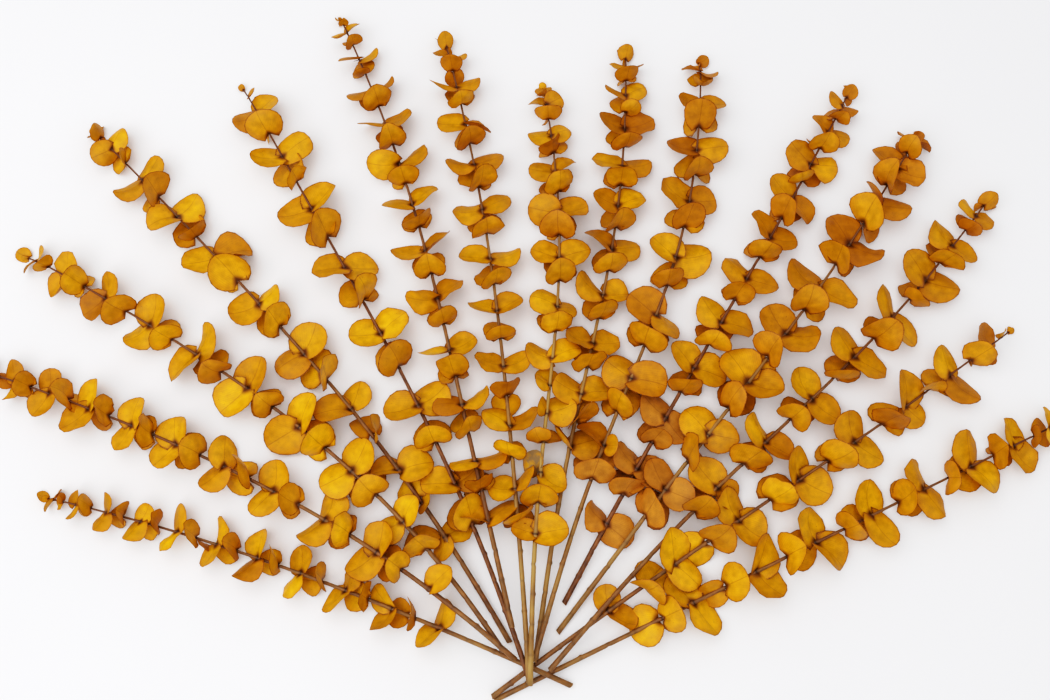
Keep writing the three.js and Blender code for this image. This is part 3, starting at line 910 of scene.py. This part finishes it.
# For each stem: how light and how orange the dye is, how much of the bark is pale olive, partly
# faded and partly painted highlight, and up to which share of its length the leaves are old, with a
# bloom.
Finish = namedtuple("Finish", "light orange faded old_up_to")
FINISH = [Finish(*row) for row in (
    (0.60, 0.08, 0.3, 0), (0.60, 0.10, 0.2, 0), (0.66, 0.07, 0.2, 0), (0.64, 0.10, 0.2, 0),
    (0.62, 0.10, 0, 0), (0.56, 0.12, 0.2, 0), (0.60, 0.10, 0.6, 0), (0.60, 0.10, 0.9, 0),
    (0.54, 0.18, 0.6, 0), (0.50, 0.24, 0.4, 0.3), (0.44, 0.30, 0, 0.36), (0.48, 0.28, 0.5, 0.32),
    (0.54, 0.20, 0.2, 0), (0.60, 0.14, 0.2, 0), (0.64, 0.12, 0.3, 0),
)]
# How far a leaf's lightness strays from its stem's: partly its own dye, partly painted shade for
# leaves turned from the light.
TONE_AND_SHADE_SPREAD = 0.19
ORANGE_SPREAD = 0.1
TIP_FROM = 0.6  # from this share of its length on, a stem's leaves are darker and more orange
TIP_DARKER = 0.22
TIP_MORE_ORANGE = 0.08
SPOILT = {8: 1}  # for a stem, the number from the left, from 0 on, of its leaf that has gone grey
DYE_SEED = 200

AROUND_FACES = 10
BARK_STEP = 8 * MM
BARK_WELD = 0.01 * MM
KNOT_REACH = 2.6 * MM
KNOT_RINGS = (-1, -0.45, 0, 0.45, 1)
KNOT_SWELLING = 0.05
KNOT_WIDER = 0.13  # towards its two leaves
KNOT_FALL = 3  # how fast a knot thins out along the stem
STAIN_FALL = 5
KINK_ASIDE = 0.5 * MM
KINK_UP = 0.3 * MM
SCAR_SPACING = 27 * MM
FOOT_SLANT = 0.3
SCAR_STAIN = 0.35  # of the stain at a knot that still has its leaves
YOUNG_BARK_FROM = 0.45
YOUNG_BARK_CURVE = 0.8


def finished(mesh, name, materials):
    """The piece, with its place in its mesh."""
    data = bpy.data.meshes.new(name)
    mesh.to_mesh(data)
    mesh.free()
    for material in materials:
        data.materials.append(material)
    piece = bpy.data.objects.new(name, data)
    bpy.context.scene.collection.objects.link(piece)
    return piece


def foliage(stem, grown, finish, draws):
    """All the leaves of a stem, each with its own tone, whose lightness is partly painted shade."""
    mesh = bmesh.new()
    disc = leaf_disc(mesh)
    for number, form in enumerate(grown):
        place = form.leaf.place
        tipward = max(0, (place - TIP_FROM) / (1 - TIP_FROM))
        # The spread in lightness is partly painted shade, partly the leaf's own dye.
        light = finish.light - TIP_DARKER * tipward + draws.gauss(0, TONE_AND_SHADE_SPREAD)
        orange = finish.orange + TIP_MORE_ORANGE * tipward + draws.gauss(0, ORANGE_SPREAD)
        spoilt = number == SPOILT.get(stem.number)
        tone = (min(1, max(0, light)), min(1, max(0, orange)), float(spoilt))
        add_leaf(mesh, disc, form, tone, place < finish.old_up_to)
    bmesh.ops.delete(mesh, geom=[v for v in disc if isinstance(v, bmesh.types.BMVert)])
    return finished(mesh, f"leaves_{stem.number:02d}", [leaf_material])


def knots(stem):
    """Where the stem is swollen, and which way its two leaves point there: at its pairs of leaves,
    and at the scars of those that it has lost."""
    places = [stem.pair_place(i) for i in range(stem.row["pairs"])]
    lost = int(stem.bare / SCAR_SPACING - 0.5)
    places = [(stem.bare - (lost - i) * SCAR_SPACING) / stem.length for i in range(lost)] + places
    return [(place, stem.row["turn"] + 90 * (i - lost)) for i, place in enumerate(places)]


def bark_rings(stem, swollen):
    """Shares of the length: evenly along it, and closer together at each knot."""
    rings = {i * BARK_STEP / stem.length for i in range(int(stem.length / BARK_STEP))} | {1}
    for knot, _ in swollen:
        rings |= {knot + off * KNOT_REACH / stem.length for off in KNOT_RINGS}
    return sorted(t for t in rings if 0 <= t <= 1)


def bark_point(stem, t, turn, off, facing, kink, slant):
    """A point of the bark: off says how far it is from the nearest knot, in the knot's reach."""
    bulge = math.exp(-KNOT_FALL * off * off)
    wider = KNOT_SWELLING + KNOT_WIDER * math.cos(2 * (turn - math.radians(facing)))
    radius = stem_radius(t) * (1 + bulge * wider)
    onward, aside, up = stem.directions(t)
    place = stem.point(t) + aside * kink[0] * bulge + up * kink[1] * bulge
    place += onward * (radius * slant * (1 + math.cos(turn)))
    place += (aside * math.cos(turn) + up * math.sin(turn)) * radius
    place.z = max(place.z, SURFACE_CLEARANCE)
    return kept_in_packed_box(place)


def close_ends(mesh):
    """Fills the cut and the tip, with a sharp edge round each."""
    open_edges = [edge for edge in mesh.edges if edge.is_boundary]
    for face in bmesh.ops.holes_fill(mesh, edges=open_edges, sides=AROUND_FACES)["faces"]:
        face.material_index = 1
        for edge in face.edges:
            edge.smooth = False


def woody_stem(stem, faded, draws):
    """A tapering tube of bark, swollen at its knots and cut at a slant."""
    mesh = bmesh.new()
    uv = mesh.loops.layers.uv.new("bark")
    wood = mesh.verts.layers.float_vector.new("wood")
    swollen = knots(stem)
    rings = bark_rings(stem, swollen)
    kinks = [(draws.uniform(-KINK_ASIDE, KINK_ASIDE), draws.uniform(-KINK_UP, KINK_UP))
             for _ in swollen]
    bmesh.ops.create_grid(mesh, x_segments=len(rings) - 1, y_segments=AROUND_FACES, size=1)
    for vert in mesh.verts:
        ring = round((vert.co.x + 1) / 2 * (len(rings) - 1))
        step = round((vert.co.y + 1) / 2 * AROUND_FACES)
        t = rings[ring]
        for loop in vert.link_loops:
            loop[uv].uv = (step / AROUND_FACES, t * stem.length)
        which = min(range(len(swollen)), key=lambda k: abs(swollen[k][0] - t))
        knot, facing = swollen[which]
        off = (t - knot) * stem.length / KNOT_REACH
        turn = 2 * math.pi * step / AROUND_FACES
        slant = FOOT_SLANT if ring == 0 else 0
        vert.co = bark_point(stem, t, turn, off, facing, kinks[which], slant)
        young = max(0, (t - YOUNG_BARK_FROM) / (1 - YOUNG_BARK_FROM)) ** YOUNG_BARK_CURVE
        stain = SCAR_STAIN if t * stem.length < stem.bare else 1
        vert[wood] = (young, stain * math.exp(-STAIN_FALL * off * off), faded)
    bmesh.ops.remove_doubles(mesh, verts=mesh.verts[:], dist=BARK_WELD)
    for face in mesh.faces:
        face.smooth = True
    close_ends(mesh)
    bmesh.ops.recalc_face_normals(mesh, faces=mesh.faces[:])
    return finished(mesh, f"woody_stem_{stem.number:02d}", [bark_material, cut_material])


leaf_material = preserved_leaf()
bark_material = dried_bark()
cut_material = cut_wood()

woody_stems = {}
stem_trees = {}
for stem, finish in zip(stems, FINISH):
    wood = woody_stem(stem, finish.faded, random.Random(stem.number))
    woody_stems[stem.number] = wood
    corners = [vert.co for vert in wood.data.vertices]
    faces = [list(face.vertices) for face in wood.data.polygons]
    stem_trees[stem.number] = bvhtree.BVHTree.FromPolygons(corners, faces)

forms = []
forms_of = {number: packed_forms(stems[number - 1], random.Random(number)) for number in LAID_DOWN}
for number in LAID_DOWN:
    forms_of[number] += added_forms(stems[number - 1], random.Random(ADDED_SEED + number))

for stem, finish in zip(stems, FINISH):
    leaves = foliage(stem, forms_of[stem.number], finish, random.Random(DYE_SEED + stem.number))
    for piece, slot in ((leaves, "dried_leaf"), (woody_stems[stem.number], "woody_stem")):
        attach(piece, "root")
        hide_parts(f"leafy_stem_{stem.number:02d}")

# ---- The surface that the bunch lies on ----

PAPER_SIZE = 20  # half its width, so that its edges are far away in every view

mesh = bmesh.new()
bmesh.ops.create_grid(mesh, x_segments=1, y_segments=1, size=PAPER_SIZE)
paper = finished(mesh, "paper", [white_paper()])
